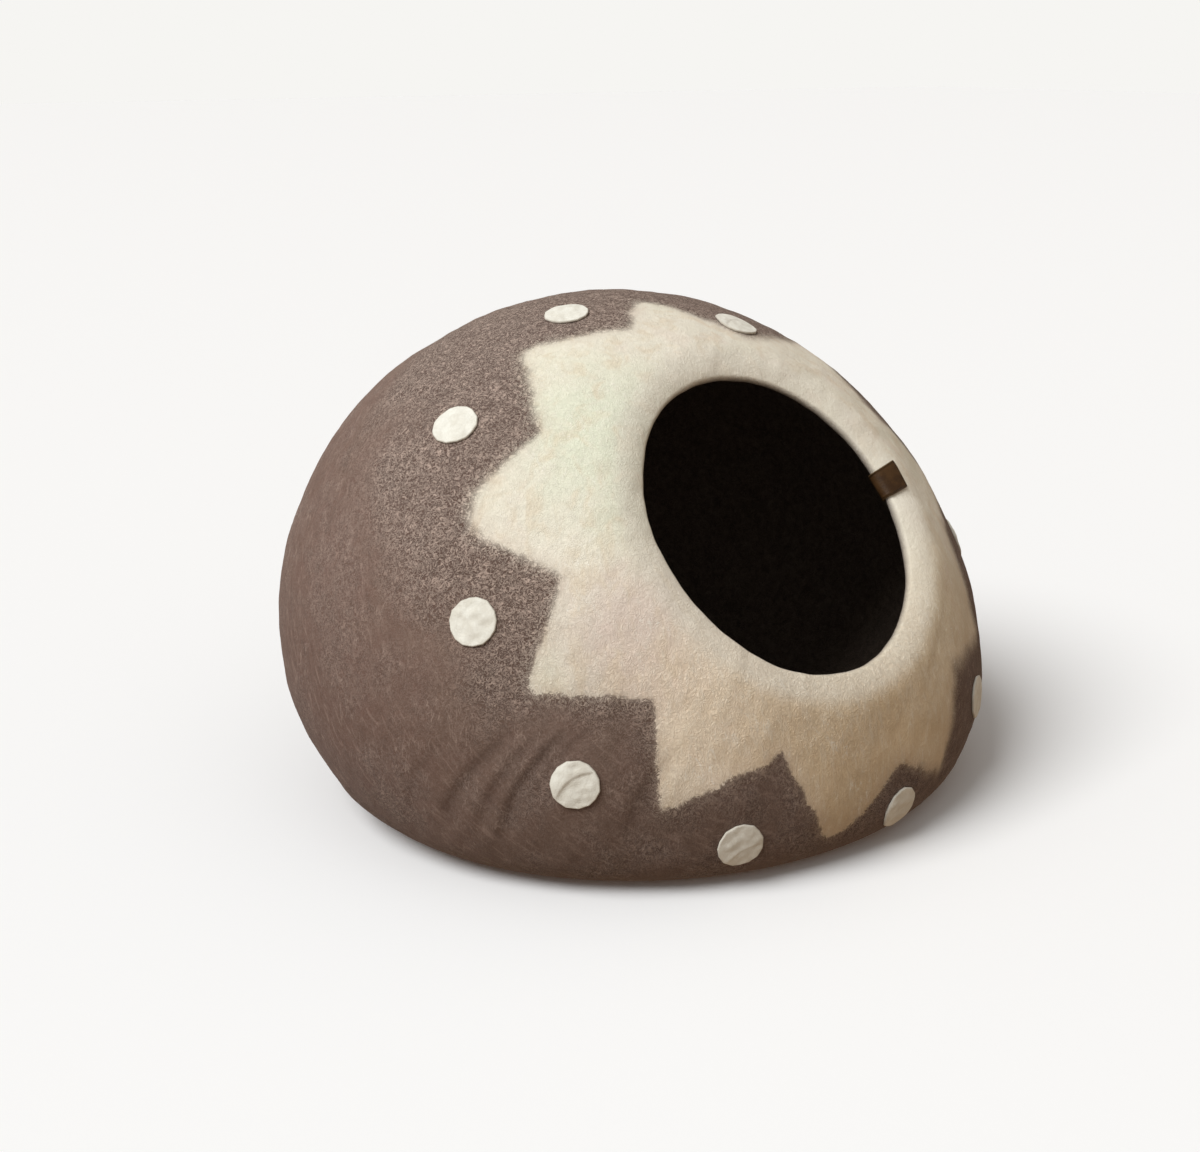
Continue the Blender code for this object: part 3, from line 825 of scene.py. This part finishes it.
def brown_colour(tree, wool, fuzzy):
    """Taupe wool, darker and warmer low down as soiling and painted shade and at the sides as painted shade, with
    marks along its lay and pale hairs over gaps.
    """
    turned_away = add(tree, "Math.MAXIMUM", wool.far_left, add(tree, "Math.MULTIPLY", wool.low, 0.7))
    marks = add(tree, "Math.MULTIPLY_ADD", turned_away, 0.22, 0.08)
    sparse = add(tree, "MapRange.SMOOTHSTEP", wool.patches, 0.4, 0.6, 0.0, 0.3)
    gaps = add(tree, "Math.MULTIPLY", wool.between, fuzzy)
    hairs = add(tree, "Math.MULTIPLY", wool.ridges, fuzzy)
    paleness = add(tree, "Math.MULTIPLY_ADD", wool.low, -0.5, 0.92)
    layers = (
        # Uneven fleece, warmer where it drifts.
        (add(tree, "MapRange.SMOOTHSTEP", wool.broad, 0.35, 0.65), "#867166"),
        (rising(tree, wool.drift, 0.4, 0.7, 0.4), "#80645a"),
        # Darker towards the floor as soiling and painted shade, and to both sides as painted shade.
        (add(tree, "Math.MULTIPLY", wool.low, 0.65), "#5e483d"),
        (add(tree, "Math.MULTIPLY", wool.far_left, 0.55), "#694c43"),
        (add(tree, "Math.MULTIPLY", wool.right_side, 0.45), "#5a4434"),
        # Lumps, and dark and pale marks along the lay.
        (rising(tree, wool.lumps, 0.35, 0.7, 0.25), "#6d594e"),
        (rising(tree, wool.rounds, 0.52, 0.66, marks), "#4c3a32"),
        (rising(tree, wool.rounds, 0.46, 0.32, marks), "#ab9488"),
        (add(tree, "Math.MULTIPLY", wool.long_hairs, sparse), "#c2ac9f"),
        # Shade in the creases and between the curls, then the pale curls themselves.
        (add(tree, "MapRange.SMOOTHSTEP", wool.crease_depth, 0.1, 1.9, 0.0, 0.42), "#4c3a32"),
        (add(tree, "Math.MULTIPLY", gaps, 0.66), "#51403a"),
        (add(tree, "Math.MULTIPLY", hairs, paleness), "#c2ac9f"),
        (add(tree, "Math.MULTIPLY", wool.fine_curls, 0.14), "#a9978d"),
    )
    return laid_over(tree, to_linear("#806b5e"), layers)


def cream_tints_and_shade(tree, wool):
    """The broad tints in the cream, some with painted warm shade, as layers: each is full over a fifth of its spread
    and fades out unevenly.
    """
    uneven_edge = add(tree, "Math.MULTIPLY_ADD", wool.patches, 0.7, 0.65)
    layers = []
    for row in TINTS_AND_WARM_SHADE:
        tint = dict(zip(TINT_AND_SHADE_COLUMNS, row))
        middle = (tint["x"] * MM, tint["y"] * MM, tint["z"] * MM)
        off = add(tree, "Math.MULTIPLY", add(tree, "VectorMath.DISTANCE", wool.where, middle), uneven_edge)
        full, faded = 0.2 * tint["spread"] * MM, tint["spread"] * MM
        layers.append((add(tree, "MapRange.SMOOTHSTEP", off, full, faded, tint["share"], 0.0), tint["colour"]))
    return layers


def cream_colour(tree, wool, wander):
    """Undyed wool: drifts, tints with painted warm shade low down and on the right, and upright streaks, thin over
    the brown at its edge, with a painted highlight along the rim.
    """
    sparse = add(tree, "MapRange.SMOOTHSTEP", wool.patches, 0.45, 0.65, 0.0, 0.6)
    thin = add(tree, "MapRange.SMOOTHSTEP", wander, 0.0, 13.0, 0.32, 0.0)
    thin_in_hollows = add(tree, "MapRange.SMOOTHSTEP", wool.lumps, 0.3, 0.6, 0.5, 1.0)
    curly_low_down = add(tree, "MapRange.SMOOTHSTEP", wool.z, 0.09, 0.19, 0.16, 0.03)
    layers = (
        # Uneven fleece with its broad tints, and painted warm shade low down and on the right.
        (add(tree, "MapRange.SMOOTHSTEP", wool.broad, 0.35, 0.65), "#eee9d6"),
        (rising(tree, wool.drift, 0.5, 0.75, 0.4), "#ecdccd"),
        *cream_tints_and_shade(tree, wool),
        # Combed streaks and single long hairs.
        (rising(tree, wool.long_streaks, 0.45, 0.72, 0.45), "#e2cfb2"),
        (rising(tree, wool.streaks, 0.45, 0.75, 0.28), "#faf4e6"),
        (add(tree, "Math.MULTIPLY", wool.long_hairs, sparse), "#fffaf0"),
        # Brown showing at the star's edge, a painted highlight on the rim, and shade between the curls low down.
        (add(tree, "Math.MULTIPLY", thin, thin_in_hollows), "#cdb9a8"),
        (add(tree, "MapRange.SMOOTHSTEP", wool.reach, 1.2 * MM, 2.8 * MM, 0.55, 0.0), "#f5efe1"),
        (add(tree, "Math.MULTIPLY", wool.between, curly_low_down), "#b38f68"),
    )
    return laid_over(tree, to_linear("#f2ebdb"), layers)


def inside_colour(tree, wool):
    """Plain grey-brown wool in the cave, painted darker than the outside as shade, with paler curls."""
    layers = (
        (add(tree, "MapRange.SMOOTHSTEP", wool.lumps, 0.3, 0.7), "#6b5d52"),
        (add(tree, "Math.MULTIPLY", wool.curls, 0.35), "#8f7f72"),
    )
    return laid_over(tree, to_linear("#584b42"), layers)


def wool_height(tree, wool, fuzzy, cream_share):
    """Height of the fine relief: hairs where it is fuzzy, fewer in the cream, over lumps, grain and streaks."""
    hair = add(tree, "Math.MULTIPLY", wool.ridges, add(tree, "Math.MULTIPLY_ADD", fuzzy, 0.8, 0.15))
    combed = add(tree, "MapRange.SMOOTHSTEP", wool.z, 0.09, 0.19, 0.5, 0.75)
    flattened = rising(tree, cream_share, 0.3, 1.0, combed)
    hair = add(tree, "Math.MULTIPLY", hair, add(tree, "Math.SUBTRACT", 1.0, flattened))
    height = add(tree, "Math.MULTIPLY_ADD", wool.lumps, 0.6, hair)
    height = add(tree, "Math.MULTIPLY_ADD", wool.grain, 0.15, height)
    return add(tree, "Math.MULTIPLY_ADD", wool.streaks, add(tree, "Math.MULTIPLY", cream_share, 0.55), height)


def wet_felted_wool():
    """Sheep's wool felted with soap and water: matt, with curled fibres 1 to 3 mm apart that catch the light.

    The fibres are drawn about ten times as thick as real wool's 0.03 mm, because finer ones don't show.
    """
    made, tree, shader = start_material("wet_felted_wool")
    wool = wool_patterns(tree)
    fuzzy = where_fuzzy(tree, wool)
    wander = star_edge(tree, wool)
    cream_share = star_share(tree, wool, wander)

    colour = add(tree, "Mix.RGBA", cream_share, brown_colour(tree, wool, fuzzy), cream_colour(tree, wool, wander))
    colour = add(tree, "Mix.RGBA", wool.outer_side, inside_colour(tree, wool), colour)
    tree.links.new(colour, shader.inputs["Base Color"])
    height = wool_height(tree, wool, fuzzy, cream_share)
    tree.links.new(add(tree, "Bump", Strength=0.8, Distance=0.8 * MM, Height=height), shader.inputs["Normal"])
    shader.inputs["Roughness"].default_value = 0.95
    shader.inputs["Specular IOR Level"].default_value = 0.15
    shader.inputs["Sheen Weight"].default_value = 0.08
    shader.inputs["Sheen Roughness"].default_value = 0.6
    return made


def cut_sheet_felt():
    """Needled craft felt cut with scissors: smoother and paler than the shell, with painted shade greying its edge.
    """
    made, tree, shader = start_material("cut_sheet_felt")
    where = add(tree, "TexCoord", output="Object")
    share = add(tree, "Attribute", attribute_name="edge_share", output="Fac")
    cloud = 1 / (9 * MM)
    broad = add(tree, "TexNoise", Vector=where, Scale=cloud, Detail=3.0, Roughness=FINER_SHARE, Distortion=0.5)
    fibres = strands(tree, where, 2.2, 1.2, 0.075)
    grain = add(tree, "TexNoise", Vector=where, Scale=1 / (0.8 * MM), Detail=2.0, Roughness=FINER_SHARE)
    layers = (
        (add(tree, "MapRange.SMOOTHSTEP", broad, 0.35, 0.7), "#e6e2d6"),
        (add(tree, "Math.MULTIPLY", fibres, 0.14), "#cfc8ba"),
        # Painted shade: greyer round the edge of the dot.
        (rising(tree, share, 0.93, 1.0, 0.5), "#b3a99a"),
    )
    tree.links.new(laid_over(tree, to_linear("#f4f2e8"), layers), shader.inputs["Base Color"])
    height = add(tree, "Math.MULTIPLY_ADD", grain, 0.25, broad)
    height = add(tree, "Math.MULTIPLY_ADD", fibres, 0.3, height)
    tree.links.new(add(tree, "Bump", Strength=0.5, Distance=0.5 * MM, Height=height), shader.inputs["Normal"])
    shader.inputs["Roughness"].default_value = 0.9
    shader.inputs["Specular IOR Level"].default_value = 0.2
    shader.inputs["Sheen Weight"].default_value = 0.15
    return made


def oiled_tag_leather():
    """Vegetable-tanned leather, oiled: fine pebbled grain, satin, paler where the cut edge is worn."""
    made, tree, shader = start_material("oiled_tag_leather")
    strip = add(tree, "VectorMath.SCALE", add(tree, "Attribute", attribute_name="strip", output="Vector"), MM)
    pebbles = add(tree, "TexVoronoi", Vector=strip, Scale=1 / (0.9 * MM), output="Distance")
    broad = add(tree, "TexNoise", Vector=strip, Scale=1 / (6 * MM), Detail=3.0, Roughness=FINER_SHARE)
    grain = add(tree, "TexNoise", Vector=strip, Scale=1 / (0.5 * MM), Detail=3.0, Roughness=FINER_SHARE)
    across = add(tree, "Math.ABSOLUTE", add(tree, "SeparateXYZ", strip))
    layers = (
        (add(tree, "MapRange.SMOOTHSTEP", broad, 0.35, 0.68), "#4b3216"),
        (rising(tree, across, (TAG_WIDTH / 2 - 1.6) * MM, (TAG_WIDTH / 2 - 0.2) * MM, 0.4), "#7d6646"),
    )
    tree.links.new(laid_over(tree, to_linear("#3a240d"), layers), shader.inputs["Base Color"])
    satin = add(tree, "MapRange.SMOOTHSTEP", broad, 0.3, 0.7, 0.5, 0.66)
    tree.links.new(satin, shader.inputs["Roughness"])
    height = add(tree, "Math.MULTIPLY_ADD", grain, 0.4, pebbles)
    tree.links.new(add(tree, "Bump", Strength=0.5, Distance=0.25 * MM, Height=height), shader.inputs["Normal"])
    shader.inputs["Specular IOR Level"].default_value = 0.3
    return made


def pale_floor():
    """A wide matt floor, nearly white. Its own bounce is left to the warm lower half of the room."""
    made, tree, shader = start_material("white_backdrop_paper")
    shader.inputs["Base Color"].default_value = to_linear("#fafbfd")
    shader.inputs["Roughness"].default_value = 0.9
    reach = np.linspace(-FLOOR_REACH, FLOOR_REACH, FLOOR_STEPS + 1)
    points = np.stack(np.broadcast_arrays(reach[None, :], reach[:, None], -BASE_DROP), axis=-1)
    floor = mesh_piece("floor", points.reshape(-1, 3), grid_faces(len(reach), len(reach), False))
    floor.data.materials.append(made)
    floor.visible_diffuse = False


def studio():
    """A broad high key from the left, in a room that is white on the key's side and warm and dim on the other."""
    light = bpy.data.lights.new("key", "SUN")
    light.energy = KEY_STRENGTH
    light.angle = np.radians(KEY_BREADTH)
    light.color = KEY_COLOUR
    lamp = bpy.data.objects.new("key", light)
    turn, height = np.radians(KEY_TURN), np.radians(KEY_HEIGHT)
    place = Vector((-np.sin(turn) * np.cos(height), -np.cos(turn) * np.cos(height), np.sin(height)))
    lamp.location = place * 3
    lamp.rotation_euler = place.to_track_quat("Z", "Y").to_euler()
    bpy.context.scene.collection.objects.link(lamp)

    world = bpy.data.worlds.new("room")
    world.use_nodes = True
    tree = world.node_tree
    towards = add(tree, "VectorMath.DOT_PRODUCT", add(tree, "TexCoord", output="Generated"), ROOM_WAY)
    bright_side = add(tree, "MapRange.SMOOTHSTEP", towards, -0.3, 0.75)
    room = add(tree, "Mix.RGBA", bright_side, ROOM_DIM, ROOM_BRIGHT)
    # The camera itself sees the floor's own shade behind the shell, so that no horizon shows.
    room = add(tree, "Mix.RGBA", add(tree, "LightPath", output="Is Camera Ray"), room, to_linear("#f6f5f2"))
    tree.links.new(room, tree.nodes["Background"].inputs["Color"])
    bpy.context.scene.world = world
    bpy.context.scene.view_settings.view_transform = "Standard"


def camera():
    """The photograph's viewing point and framing."""
    lens = bpy.data.cameras.new("camera")
    lens.sensor_width = 36.0
    lens.lens = CAMERA_LENS
    lens.shift_x, lens.shift_y = CAMERA_SHIFT
    lens.clip_end = 30.0
    made = bpy.data.objects.new("camera", lens)
    made.location = Vector(CAMERA_PLACE)
    made.rotation_euler = (Vector(CAMERA_AIM) - made.location).to_track_quat("-Z", "Y").to_euler()
    bpy.context.scene.collection.objects.link(made)
    bpy.context.scene.camera = made


def main():
    """Makes the twelve pieces, hides the model's pieces that they take the place of, and sets them on the floor in
    the light.
    """
    wool, cut_felt, leather = wet_felted_wool(), cut_sheet_felt(), oiled_tag_leather()

    shell = make_shell()
    shell.data.materials.append(wool)
    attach(shell, "root")
    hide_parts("shell")

    for number, row in enumerate(DOTS, 1):
        dot = make_dot(f"felt_dot_{number:02d}", row, DOT_SEED + number)
        dot.data.materials.append(cut_felt)
        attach(dot, "root")
        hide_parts(f"dot_{number:02d}")

    tag = make_tag()
    tag.data.materials.append(leather)
    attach(tag, "root")
    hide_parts("rim_tag")

    pale_floor()
    studio()
    camera()


main()
